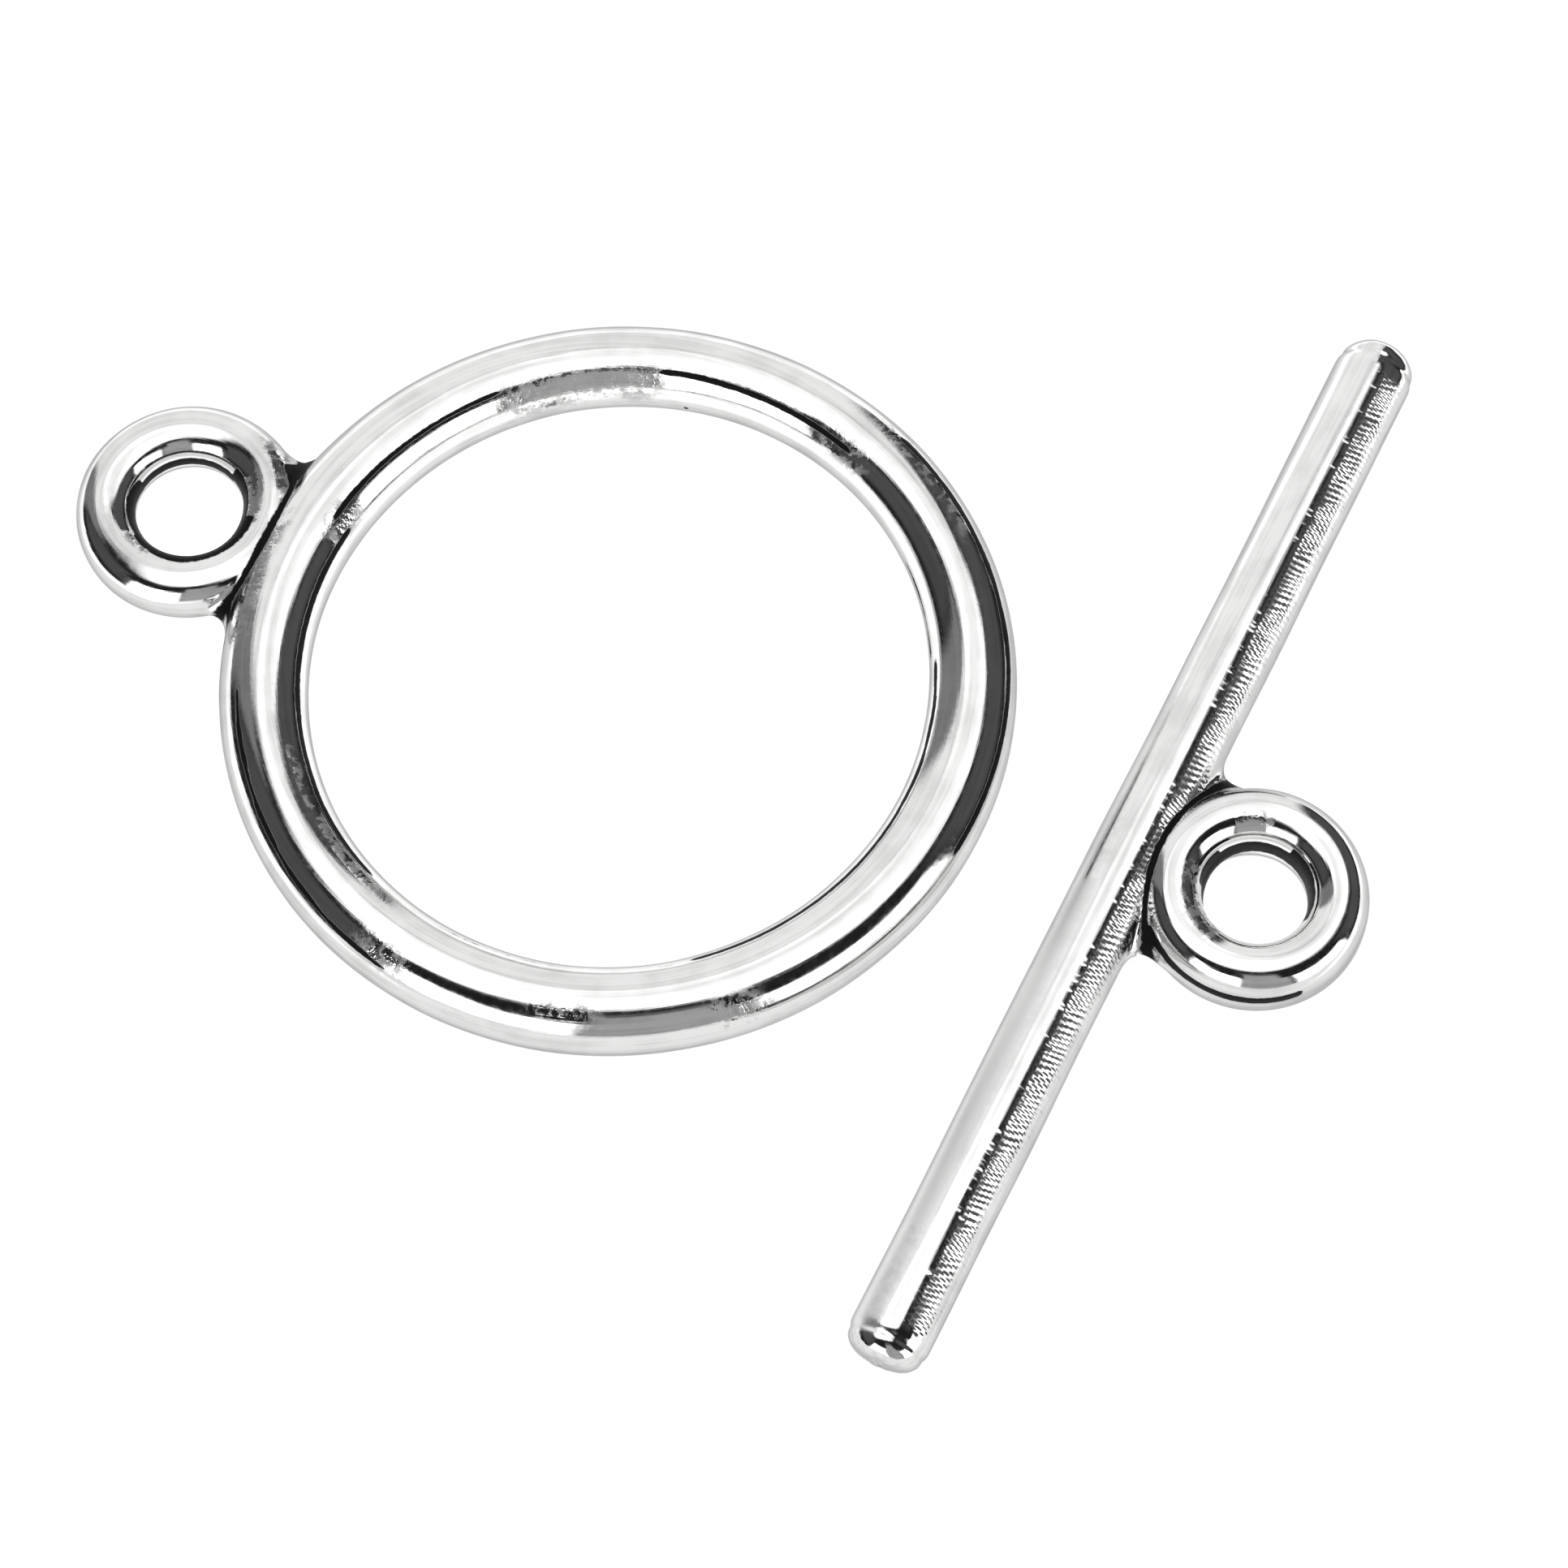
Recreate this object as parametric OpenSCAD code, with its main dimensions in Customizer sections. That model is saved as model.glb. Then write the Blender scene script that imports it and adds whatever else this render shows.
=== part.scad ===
// Toggle clasp for a bracelet or necklace, lying in its two halves on a table.
// One half is a ring of round wire with a small eye cast on its rim.
// The other is a straight round bar with a small eye cast on the middle of its side.
// +Z is up, the table is at z = 0, and the origin is the middle of the set's outline on the table.

/* [Ring] */
// Outside diameter of the ring
ring_od = 15.2; // [10:0.1:26]
// Thickness of the ring's round wire
ring_wire = 1.65; // [1:0.05:2.4]
// Diameter of the hole in the ring's eye
ring_eye_hole = 2.1; // [1:0.1:3.5]
// Width of the wall round the ring's eye
ring_eye_wall = 1.15; // [0.8:0.05:2]
// Height of the ring's eye
ring_eye_height = 1.2; // [0.8:0.05:2.4]
// How far the rim of the ring's eye is sunk into the ring
ring_eye_sink = 0.7; // [0.3:0.05:0.75]
// Direction of the ring's eye, counted from +X
ring_eye_turn = 157; // [120:1:210]

/* [Bar] */
// Length of the bar over its domed ends
bar_length = 22.9; // [16:0.1:40]
// Thickness of the bar
bar_d = 1.55; // [1.2:0.05:2.6]
// Radius of the rounded rim at each end of the bar
bar_rim_r = 0.38; // [0.1:0.02:0.4]
// How far the crown of an end rises above its rounded rim
bar_crown = 0.12; // [0.04:0.01:0.18]
// Diameter of the hole in the bar's eye
bar_eye_hole = 2; // [1:0.1:3.5]
// Width of the wall round the bar's eye
bar_eye_wall = 1.15; // [0.8:0.05:2]
// Height of the bar's eye
bar_eye_height = 1.55; // [0.8:0.05:2.6]
// How far the rim of the bar's eye is sunk into the bar
bar_eye_sink = 0.5; // [0.3:0.05:0.75]
// How far the bar's eye stands from the middle of the bar, towards its far end
bar_eye_offset = -0.2; // [-4:0.1:4]

/* [Casting] */
// Narrowest flat that is left on an eye's wall: inside, where a jump ring bears, and on top
eye_land = 0.15; // [0.05:0.05:0.5]
// Radius of the fillet between each eye and its ring or bar
fillet_r = 0.3; // [0.1:0.05:0.8]
// Thickness of the web that the fillets bound
web_height = 0.8; // [0.3:0.05:1]

/* [Layout] */
// Clear gap between the ring and the bar where they lie
lay_gap = 1.95; // [0.5:0.05:10]
// Direction of the bar, counted from +X
bar_turn = 63.8; // [55:0.1:90]
// How far the middle of the bar lies beyond the point nearest the ring's centre
bar_slide = 1.4; // [-6:0.1:6]

/* [Hidden] */
$fn = 96;

ring_r = (ring_od - ring_wire) / 2;
ring_eye_r = (ring_eye_hole + ring_eye_wall) / 2;
ring_eye_rim = ring_eye_hole / 2 + ring_eye_wall;
ring_eye_reach = ring_od / 2 + ring_eye_rim - ring_eye_sink;
ring_z = max(ring_wire, ring_eye_height) / 2;

bar_r = bar_d / 2;
bar_eye_r = (bar_eye_hole + bar_eye_wall) / 2;
bar_eye_rim = bar_eye_hole / 2 + bar_eye_wall;
bar_eye_reach = bar_r + bar_eye_rim - bar_eye_sink;
bar_z = max(bar_d, bar_eye_height) / 2;

// The crown is a circle that meets the rounded rim without a corner
rim_at = bar_r - bar_rim_r;
crown_r = (rim_at ^ 2 + bar_crown ^ 2 + 2 * bar_rim_r * bar_crown) / (2 * bar_crown);
dome_height = bar_rim_r + bar_crown;
crown_half_angle = asin(rim_at / (crown_r - bar_rim_r));

// Places in a plan whose origin is the ring's centre
bar_along = [cos(bar_turn), sin(bar_turn)];
bar_across = [sin(bar_turn), -cos(bar_turn)];
bar_middle = bar_along * bar_slide + bar_across * (ring_od / 2 + lay_gap + bar_r);
ring_eye_at = ring_eye_reach * [cos(ring_eye_turn), sin(ring_eye_turn)];
bar_eye_at = bar_middle + bar_along * bar_eye_offset + bar_across * bar_eye_reach;

// How far an end of the bar reaches from the bar's middle, in a direction off its axis
function end_reach(off) = off < crown_half_angle
    ? (bar_length / 2 - crown_r) * cos(off) + crown_r
    : (bar_length / 2 - dome_height) * cos(off) + rim_at * sin(off) + bar_rim_r;

// The plan's outline, and its middle
bar_reach = [end_reach(bar_turn), end_reach(90 - bar_turn)];
outline_low = [for (i = [0, 1]) min(-ring_od / 2, ring_eye_at[i] - ring_eye_rim,
    bar_middle[i] - bar_reach[i], bar_eye_at[i] - bar_eye_rim)];
outline_high = [for (i = [0, 1]) max(ring_od / 2, ring_eye_at[i] + ring_eye_rim,
    bar_middle[i] + bar_reach[i], bar_eye_at[i] + bar_eye_rim)];
plan_middle = (outline_low + outline_high) / 2;

// Cross-section of an eye's wall: a rectangle whose corners are rounded as far as
// the narrowest flat allows, standing at the eye's centre line
module eye_section(centre_r, wall, height) {
    corner_r = (min(wall, height) - eye_land) / 2;
    translate([centre_r, 0]) {
        square([wall, height - 2 * corner_r], center = true);
        square([wall - 2 * corner_r, height], center = true);
        for (side = [-1, 1], end = [-1, 1])
            translate([side * (wall / 2 - corner_r), end * (height / 2 - corner_r)])
                circle(r = corner_r);
    }
}

// An eye is a closed loop of that section
module eye(centre_r, wall, height) {
    rotate_extrude()
        eye_section(centre_r, wall, height);
}

// Thin web between the ring and its eye, cut back by a fillet on each side.
// Each fillet's centre lies one fillet radius off the rim of both.
module ring_web() {
    from_ring = ring_od / 2 + fillet_r;
    from_eye = ring_eye_rim + fillet_r;
    lean = acos((ring_eye_reach ^ 2 + from_ring ^ 2 - from_eye ^ 2)
        / (2 * ring_eye_reach * from_ring));
    fillet_at = from_ring * [cos(lean), sin(lean)];
    linear_extrude(web_height, center = true)
        difference() {
            polygon([[0, 0], [fillet_at.x, -fillet_at.y], [ring_eye_reach, 0], fillet_at]);
            circle(r = ring_r);
            translate([ring_eye_reach, 0])
                circle(r = ring_eye_r);
            for (side = [-1, 1])
                translate([fillet_at.x, side * fillet_at.y])
                    circle(r = fillet_r);
        }
}

// The same web between the bar and its eye, with the bar along X and its eye towards -Y
module bar_web() {
    drop = bar_r + fillet_r;
    spread = sqrt((bar_eye_rim + fillet_r) ^ 2 - (bar_eye_reach - drop) ^ 2);
    linear_extrude(web_height, center = true)
        translate([bar_eye_offset, 0])
            difference() {
                polygon([[-spread, 0], [-spread, -drop], [0, -bar_eye_reach],
                    [spread, -drop], [spread, 0]]);
                translate([0, -bar_eye_reach])
                    circle(r = bar_eye_r);
                for (side = [-1, 1])
                    translate([side * spread, -drop])
                        circle(r = fillet_r);
            }
}

// Half outline of the bar in the plane of its axis: a straight stretch and two domed ends
module bar_profile() {
    straight = bar_length - 2 * dome_height;
    crown_edge = crown_r * [sin(crown_half_angle), cos(crown_half_angle)];
    translate([0, -straight / 2])
        square([bar_r, straight]);
    for (end = [0, 1])
        mirror([0, end])
            translate([0, straight / 2]) {
                square([rim_at, bar_rim_r * cos(crown_half_angle)]);
                intersection() {
                    translate([rim_at, 0])
                        circle(r = bar_rim_r);
                    square([bar_r, bar_rim_r]);
                }
                intersection() {
                    translate([0, dome_height - crown_r])
                        circle(r = crown_r);
                    square([crown_edge.x, dome_height]);
                }
            }
}

// Ring half: a round wire bent to a ring, with its eye
module toggle_ring() {
    color("silver")
        translate([-plan_middle.x, -plan_middle.y, ring_z])
            rotate([0, 0, ring_eye_turn])
                union() {
                    rotate_extrude()
                        translate([ring_r, 0])
                            circle(d = ring_wire);
                    translate([ring_eye_reach, 0, 0])
                        eye(ring_eye_r, ring_eye_wall, ring_eye_height);
                    ring_web();
                }
}

// Bar half: a round bar with domed ends, with its eye
module toggle_bar() {
    color("silver")
        translate([bar_middle.x - plan_middle.x, bar_middle.y - plan_middle.y, bar_z])
            rotate([0, 0, bar_turn])
                union() {
                    rotate([0, 90, 0])
                        rotate_extrude()
                            bar_profile();
                    translate([bar_eye_offset, -bar_eye_reach, 0])
                        eye(bar_eye_r, bar_eye_wall, bar_eye_height);
                    bar_web();
                }
}

toggle_ring();
toggle_bar();
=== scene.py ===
"""Toggle clasp in polished antique silver: a ring half and a bar half on a pale table.

Shapes are worked out in millimetres and put into the meshes in metres.
"""

from math import pi, radians

import bpy
import numpy as np
from bpy.props import FloatProperty, FloatVectorProperty, PointerProperty
from bpy.types import Operator, Panel, PropertyGroup
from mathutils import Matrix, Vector


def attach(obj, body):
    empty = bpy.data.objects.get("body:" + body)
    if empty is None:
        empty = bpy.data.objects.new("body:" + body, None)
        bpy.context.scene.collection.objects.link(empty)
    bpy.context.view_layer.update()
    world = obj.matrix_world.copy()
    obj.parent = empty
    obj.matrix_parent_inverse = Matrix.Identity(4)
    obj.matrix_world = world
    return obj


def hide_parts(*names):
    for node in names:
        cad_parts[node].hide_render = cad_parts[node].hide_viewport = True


bl_info = {
    "name": "Toggle Clasp",
    "version": (1, 0, 0),
    "blender": (4, 5, 0),
    "location": "View3D > Sidebar > Toggle Clasp",
    "description": "Builds both halves of a cast toggle clasp round its packed model",
    "category": "Object",
}

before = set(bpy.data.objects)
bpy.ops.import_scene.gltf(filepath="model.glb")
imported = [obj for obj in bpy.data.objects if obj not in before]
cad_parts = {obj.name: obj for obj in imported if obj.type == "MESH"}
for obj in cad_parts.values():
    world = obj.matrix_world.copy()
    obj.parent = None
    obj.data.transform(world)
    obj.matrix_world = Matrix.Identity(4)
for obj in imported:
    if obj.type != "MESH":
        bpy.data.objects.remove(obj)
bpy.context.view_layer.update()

MM = 0.001
BODY = "root"


# Sizes and colours that a user would change


def length(label, says, default):
    """A length property, in metres."""
    return FloatProperty(name=label, description=says, default=default, unit="LENGTH",
                         precision=6)


def place(label, says, default):
    """A point in the part's frame, in metres."""
    return FloatVectorProperty(name=label, description=says, default=default,
                               subtype="TRANSLATION", unit="LENGTH", precision=6)


def colour(label, says, default):
    """A colour property."""
    return FloatVectorProperty(name=label, description=says, default=default,
                               subtype="COLOR", min=0, max=1)


def brightness(label, says, default):
    """A strength of light, 0 or more."""
    return FloatProperty(name=label, description=says, default=default, min=0)


class RingHalfSizes(PropertyGroup):
    """Sizes of the ring half."""

    centre: place("Centre", "Middle of the ring", (-0.00243731, 0.003044, 0.000825))
    radius: length("Radius", "Radius of the wire's centre line", 0.006775)
    wire: length("Wire", "Radius of the wire", 0.000825)
    eye_at: place("Eye centre", "Middle of the small eye", (-0.0108139, 0.00659965, 0.000825))
    eye_radius: length("Eye radius", "Radius of the eye's centre line", 0.001625)
    eye_wall: length("Eye wall", "Half the width of the eye's wall", 0.000577)
    eye_height: length("Eye height", "Half the height of the eye", 0.0006)
    blend: length("Fillet", "Reach of the cast fillet between ring and eye", 0.0008)


class BarHalfSizes(PropertyGroup):
    """Sizes of the bar half."""

    centre: place("Centre", "Middle of the bar", (0.00744499, -0.00025839, 0.000775))
    turn: FloatProperty(name="Turn", description="Direction of the bar, counted from +X",
                        default=radians(63.8), subtype="ANGLE", unit="ROTATION")
    half_length: length("Half length", "Half the bar's length over its ends", 0.0115)
    radius: length("Radius", "Radius of the bar", 0.000775)
    end: length("End", "Length of the domed stretch at each end", 0.00066)
    eye_at: place("Eye centre", "Middle of the small eye", (0.00953254, -0.00150849, 0.000775))
    eye_radius: length("Eye radius", "Radius of the eye's centre line", 0.001575)
    eye_wall: length("Eye wall", "Half the width of the eye's wall", 0.000575)
    eye_height: length("Eye height", "Half the height of the eye", 0.000775)
    blend: length("Fillet", "Reach of the cast fillet between bar and eye", 0.0008)


class FinishLook(PropertyGroup):
    """Colours of the plated metal."""

    silver: colour("Silver", "Colour of the polished plate", (0.78, 0.78, 0.775))
    # This colour also paints shade: the near-black strokes of the dark layer stand for shadowed
    # reflections
    tarnish: colour("Tarnish", "Colour of the dark wash in the creases", (0.006, 0.006, 0.007))
    roughness: FloatProperty(name="Roughness", description="Roughness of the polished plate",
                             default=0.07, min=0, max=1, subtype="FACTOR")


class StudioLook(PropertyGroup):
    """Floor, light and camera."""

    floor_colour: colour("Floor", "Colour of the table", (0.12, 0.12, 0.12))
    glow: brightness("Glow", "Light that comes up through the table", 0.94)
    # Painted light and shade on the table: the pool glows brighter inside the loops and away from
    # the pieces, and near the pieces the glow falls to the plain one as a painted shadow
    pool: brightness("Pool", "Glow of the table inside the ring and eyes", 1.4)
    near: length("Near", "How far from the pieces the table is less bright", 0.0033)
    front: length("Front", "Where the brighter front of the table begins", -0.0055)
    shade: length("Shade", "How far from the ring's inside its pool of light begins", 0.0007)
    floor_size: length("Floor size", "Side of the square table top", 3.0)
    light: brightness("Light", "Strength of all the light round the table", 1.0)
    camera_at: place("Camera", "Where the camera stands", (0.0007105, -0.03703, 0.08749))
    looks_at: place("Looks at", "Point on the table in the middle of the picture",
                    (0.0007105, 0.001187, 0.0))
    lens: FloatProperty(name="Lens", description="Focal length of the camera",
                        default=114.67, unit="CAMERA")


# Shapes

# Points of each surface: round a loop and round its section, and along the rod, over each of
# its ends and round it
RING_GRID, RING_EYE_GRID = (600, 80), (200, 64)
BAR_GRID, BAR_EYE_GRID = (1500, 28, 48), (200, 72)
# Exponents of the sections: 2 is an ellipse, and more is squarer
RING_EYE_POWER, BAR_EYE_POWER, BAR_END_POWER = 2.15, 2.3, 2.7
# The ring's wire is this much less tall than wide
RING_FLATNESS = 0.985
# Swell of the ring in millimetres, as shares of cos t, sin t, cos 2t and sin 2t
RING_RADIUS_WAVES = (-0.008, -0.05, -0.004, 0.06)
RING_WIDTH_WAVES = (-0.009, -0.022, 0.02, -0.02)
STILL = (0, 0, 0, 0)
# How fast the grain changes along the metal, and in a loop with the distance off its line
GRAIN_ALONG, GRAIN_OFF = 0.03, 0.02
# Angle that stands for a millimetre along the rod
TURN_PER_MM = 0.25
# Unevenness: height of one wave, and the shortest and longest, in millimetres
UNEVEN, UNEVEN_SHORTEST, UNEVEN_LONGEST = 0.0012, 1.6, 4.5
STREAK = 0.009
# Fillet: its reach on the crest, and the height over which it grows less, in millimetres
CREST_REACH, WEB_HEIGHT = 0.08, 0.32
# Seeds of the unevenness, with the next two for the streaks of the half's two shapes
RING_SEED, BAR_SEED = 5, 9

# File marks, in millimetres: their spacing, their height, and how far that drifts
MARK_SPACING, MARK_HEIGHT, HEIGHT_CHANGE = 0.115, 0.0165, 0.003
# Shares of the spacing over which a mark rises and falls, and how its rise is curved
MARK_RISE, MARK_FALL, MARK_CURVE = 0.68, 0.32, 1.4
# How far they run askew for each radian of lean, and how far they wander
MARK_SKEW, WANDER_CHANGE = 0.32, 0.042
# The leans over which they fade in and out, and how far the edge drifts, in radians
MARK_INNER, MARK_OUTER = (radians(15.5), radians(21)), (radians(62), radians(53))
EDGE_CHANGE = 0.036
# Where they fade out: along the bar from its middle, and by the distance from the eye
MARK_ENDS, MARK_EYE = (10.9, 10.6), (0.02, 0.12)
# Longest wave in millimetres and seed of each drift
EDGE_DRIFT, WANDER_DRIFT, HEIGHT_DRIFT = (0.35, 31), (1.2, 33), (0.8, 35)


def grid_faces(rows, columns, close_rows):
    """Quads of a grid whose columns close, and whose rows do too when close_rows is set."""
    row = np.arange(rows if close_rows else rows - 1)[:, None]
    column = np.arange(columns)[None, :]
    after_row, after_column = (row + 1) % rows, (column + 1) % columns
    corners = [row * columns + column, row * columns + after_column,
               after_row * columns + after_column, after_row * columns + column]
    return np.stack(corners, -1).reshape(-1, 4).tolist()


def angles(count):
    """Evenly spaced angles once round."""
    return np.arange(count) * (2 * pi / count)


def power(value, exponent):
    """A cosine or sine raised to a power with its sign kept."""
    return np.sign(value) * np.abs(value) ** exponent


def harmonics(waves, t):
    """Sum of the first two harmonics of angle t."""
    return (waves[0] * np.cos(t) + waves[1] * np.sin(t)
            + waves[2] * np.cos(2 * t) + waves[3] * np.sin(2 * t))


class Loop:
    """A round loop that lies flat: the ring itself, or an eye.

    The section at angle t round the loop is the curve |x / wide|^p + |z / tall|^p = 1,
    x being the distance from the centre line and z the height above its plane.
    Its radius and its width may swell gently with t, as sums of first and second harmonics.
    """

    def __init__(self, centre, radius, wide, tall, p=2.0, radius_waves=STILL,
                 width_waves=STILL):
        self.centre, self.radius, self.wide, self.tall, self.p = centre, radius, wide, tall, p
        self.radius_waves, self.width_waves = radius_waves, width_waves

    def surface(self, count_round, count_section):
        """Points and quads of the loop, as a grid over both angles."""
        t, s = np.meshgrid(angles(count_round), angles(count_section), indexing="ij")
        x = (self.wide + harmonics(self.width_waves, t)) * power(np.cos(s), 2 / self.p)
        reach = self.radius + harmonics(self.radius_waves, t) + x
        z = self.tall * power(np.sin(s), 2 / self.p)
        points = np.stack([reach * np.cos(t), reach * np.sin(t), z], -1).reshape(-1, 3)
        return points + self.centre, grid_faces(count_round, count_section, True)

    def from_middle(self, points):
        """Points from the loop's middle, and how far they are outside its centre line in plan."""
        at = points - self.centre
        return at, np.hypot(at[:, 0], at[:, 1]) - self.radius

    def field(self, points):
        """About the distance from the loop's surface, negative inside."""
        at, off = self.from_middle(points)
        t = np.arctan2(at[:, 1], at[:, 0])
        x = off - harmonics(self.radius_waves, t)
        wide = self.wide + harmonics(self.width_waves, t)
        share = (np.abs(x / wide) ** self.p + np.abs(at[:, 2] / self.tall) ** self.p) ** (1 / self.p)
        return (share - 1) * min(self.wide, self.tall)

    def grain_at(self, points):
        """Place in the section, shifted slowly along the loop."""
        at, off = self.from_middle(points)
        return np.stack([off + GRAIN_ALONG * at[:, 0], at[:, 2] + GRAIN_ALONG * at[:, 1],
                         GRAIN_OFF * off], -1)

    def angles_at(self, points):
        """Angle round the section and angle along the metal."""
        at, off = self.from_middle(points)
        return np.arctan2(at[:, 2], off), np.arctan2(at[:, 1], at[:, 0])


class Rod:
    """A straight round rod with domed ends, filed a little flat along one shoulder.

    Over the last stretch u, from 0 to 1, its section shrinks towards a tip above the axis, by
    the factor (1 - u^p)^(1/p). The flat is a bell-shaped dip of the radius over the angle
    round the section, and a slight neck a little past each dome's start is one over the way
    along. The angle is counted from the eye's side up, and lengths are in millimetres.
    """

    flat_at, flat_wide, flat_deep = radians(63), radians(15), 0.02
    neck_at, neck_wide, neck_deep = 0.24, 0.085, 0.03
    tip_rise = 0.35

    def __init__(self, centre, turn, half_length, radius, end, p):
        self.centre, self.half_length, self.radius, self.end, self.p = (
            centre, half_length, radius, end, p)
        self.along = np.array([np.cos(turn), np.sin(turn), 0.0])
        self.across = np.array([np.sin(turn), -np.cos(turn), 0.0])

    def surface(self, count_along, count_end, count_round):
        """Points and faces: rings carried along the axis, closed by a fan at each pole."""
        straight = self.half_length - self.end
        q = np.linspace(0, pi / 2, count_end + 1)[1:-1]
        middle = np.linspace(-straight, straight, count_along)
        tip = straight + self.end * np.sin(q) ** (2 / self.p)
        shrunk = np.cos(q) ** (2 / self.p)
        along = np.concatenate([-tip[::-1], middle, tip])
        size = np.concatenate([shrunk[::-1], np.ones(count_along), shrunk])[:, None]
        s, up = angles(count_round), np.array([0, 0, 1.0])
        x = self.radius * np.cos(s) * size
        z = self.tip_rise + (self.radius * np.sin(s) - self.tip_rise) * size
        points = (along[:, None, None] * self.along + x[..., None] * self.across
                  + z[..., None] * up).reshape(-1, 3)
        poles = (np.array([-self.half_length, self.half_length])[:, None] * self.along
                 + self.tip_rise * up)
        faces = grid_faces(len(along), count_round, False)
        here = np.arange(count_round)
        after = (here + 1) % count_round
        low_pole, last_ring = len(points), len(points) - count_round
        low, high = np.full(count_round, low_pole), np.full(count_round, low_pole + 1)
        faces += np.stack([low, after, here], -1).tolist()
        faces += np.stack([high, last_ring + here, last_ring + after], -1).tolist()
        return np.concatenate([points, poles]) + self.centre, faces

    def field(self, points):
        """About the distance from the rod's surface, negative inside."""
        at = points - self.centre
        reach = np.abs(at @ self.along) - (self.half_length - self.end)
        past = np.maximum(reach, 0) / self.end
        x, z, rise = at @ self.across, at[:, 2], self.tip_rise
        flat = self.flat_deep * np.exp(-((np.arctan2(z, x) - self.flat_at) / self.flat_wide) ** 2)
        neck = self.neck_deep * np.exp(-((reach - self.neck_at) / self.neck_wide) ** 2)
        # Size of the circle section, shrunk about the tip's height, that passes through x and z
        rest = (self.radius - flat - neck) ** 2 - rise ** 2
        over = z - rise
        share = (rise * over + np.sqrt((rise * over) ** 2 + (x ** 2 + over ** 2) * rest)) / rest
        return ((share ** self.p + past ** self.p) ** (1 / self.p) - 1) * (self.radius - rise)

    def grain_at(self, points):
        """Place in the section, shifted slowly along the rod."""
        at = points - self.centre
        return np.stack([at @ self.across, at[:, 2], GRAIN_ALONG * (at @ self.along)], -1)

    def angles_at(self, points):
        """Angle round the section, and the way along counted as an angle."""
        at = points - self.centre
        return np.arctan2(at[:, 2], at @ self.across), at @ self.along * TURN_PER_MM


def plane_waves(points, count, shortest, longest, seed):
    """Sum of plane waves sin(k . point + phase), each with a direction, length and phase of
    its own."""
    draw = np.random.default_rng(seed)
    waves = draw.normal(size=(count, 3))
    lengths = draw.uniform(shortest, longest, (count, 1))
    waves *= 2 * pi / lengths / np.linalg.norm(waves, axis=1)[:, None]
    return np.sin(points @ waves.T + draw.uniform(0, 2 * pi, count)).sum(1)


def unevenness(points, seed):
    """Soft unevenness of a hand-polished casting, in millimetres: a sum of eight plane waves."""
    return UNEVEN * plane_waves(points, 8, UNEVEN_SHORTEST, UNEVEN_LONGEST, seed)


def drift(points, longest, seed):
    """Slow random change about 0, mostly between -1 and 1: a sum of ten plane waves."""
    return plane_waves(points, 10, longest / 4, longest, seed) / 10 ** 0.5


def streaks(shape, points, seed):
    """Polishing marks that run along the metal, in millimetres.

    A sum of cosines of k times the angle round the section plus m times the angle along the
    metal, with whole k from 3 to 13 and small whole m, each about as steep as the others.
    """
    draw = np.random.default_rng(seed)
    around, along = shape.angles_at(points)
    k, m = np.arange(3, 14), draw.integers(-3, 4, 11)
    phase = draw.uniform(0, 2 * pi, 11)
    waves = np.cos(around[:, None] * k + along[:, None] * m + phase) / k
    return STREAK * waves @ draw.uniform(0.3, 1.0, 11)


def smooth_step(value, low, high):
    """0 below low, 1 above high, and 3 s^2 - 2 s^3 of the share s between."""
    share = np.clip((value - low) / (high - low), 0, 1)
    return share * share * (3 - 2 * share)


def file_marks(points, rod, eye):
    """Cover of the file marks on the rod's flat, and their height in millimetres.

    The marks cross the rod a little askew. Over their spacing the share s runs from 0 to 1,
    and the height is the lower of (s / rise)^curve and (1 - s) / fall, times their full one.
    The lean is counted from the top of the rod towards the eye's side.
    """
    at = points - rod.centre
    along, lean = at @ rod.along, np.arctan2(at @ rod.across, at[:, 2])
    edge = lean + EDGE_CHANGE * drift(points, *EDGE_DRIFT)
    cover = (smooth_step(edge, *MARK_INNER) * smooth_step(edge, *MARK_OUTER)
             * smooth_step(np.abs(along), *MARK_ENDS) * smooth_step(eye.field(points), *MARK_EYE))
    wander = WANDER_CHANGE * drift(points, *WANDER_DRIFT)
    share = (along - MARK_SKEW * lean + wander) / MARK_SPACING % 1
    full = MARK_HEIGHT + HEIGHT_CHANGE * drift(points, *HEIGHT_DRIFT)
    profile = np.minimum((share / MARK_RISE) ** MARK_CURVE, (1 - share) / MARK_FALL)
    return cover, profile * full * cover


def fillet_reach(points, level, blend):
    """Reach of the fillet: full at mid height, where the web is, and slight on the crest."""
    height = (points[:, 2] - level) / WEB_HEIGHT
    return CREST_REACH + (blend - CREST_REACH) * np.exp(-height ** 2)


def joined_field(points, first, second, blend, seed):
    """Smooth union of two fields, which leaves a fillet along their joint, less the streaks
    and the unevenness.

    Where the fields a and b differ by less than the reach r of the fillet, it is the lower of
    them less r / 4 times (1 - |a - b| / r)^2.
    """
    a = first.field(points) - streaks(first, points, seed + 1)
    b = second.field(points) - streaks(second, points, seed + 2)
    reach = fillet_reach(points, first.centre[2], blend)
    near = np.maximum(1 - np.abs(a - b) / reach, 0)
    return np.minimum(a, b) - reach / 4 * near ** 2 - unevenness(points, seed)


def slope(field, points, step=0.002):
    """Gradient of a field by central differences."""
    offsets = np.eye(3) * step
    return np.stack([(field(points + o) - field(points - o)) / (2 * step) for o in offsets], -1)


def unit(vectors):
    """The same directions with length 1."""
    return vectors / np.linalg.norm(vectors, axis=1)[:, None]


def settle(field, points, rounds=6):
    """Moves points onto the surface where the field is zero, and gives the normals there."""
    for _ in range(rounds):
        g = slope(field, points)
        points = points - (field(points) / (g ** 2).sum(1))[:, None] * g
    return points, unit(slope(field, points))


# Meshes


def raw_object(name, points, faces):
    """An object whose mesh has these points."""
    mesh = bpy.data.meshes.new(name)
    mesh.from_pydata(points.tolist(), [], faces)
    thing = bpy.data.objects.new(name, mesh)
    bpy.context.scene.collection.objects.link(thing)
    return thing


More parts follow.
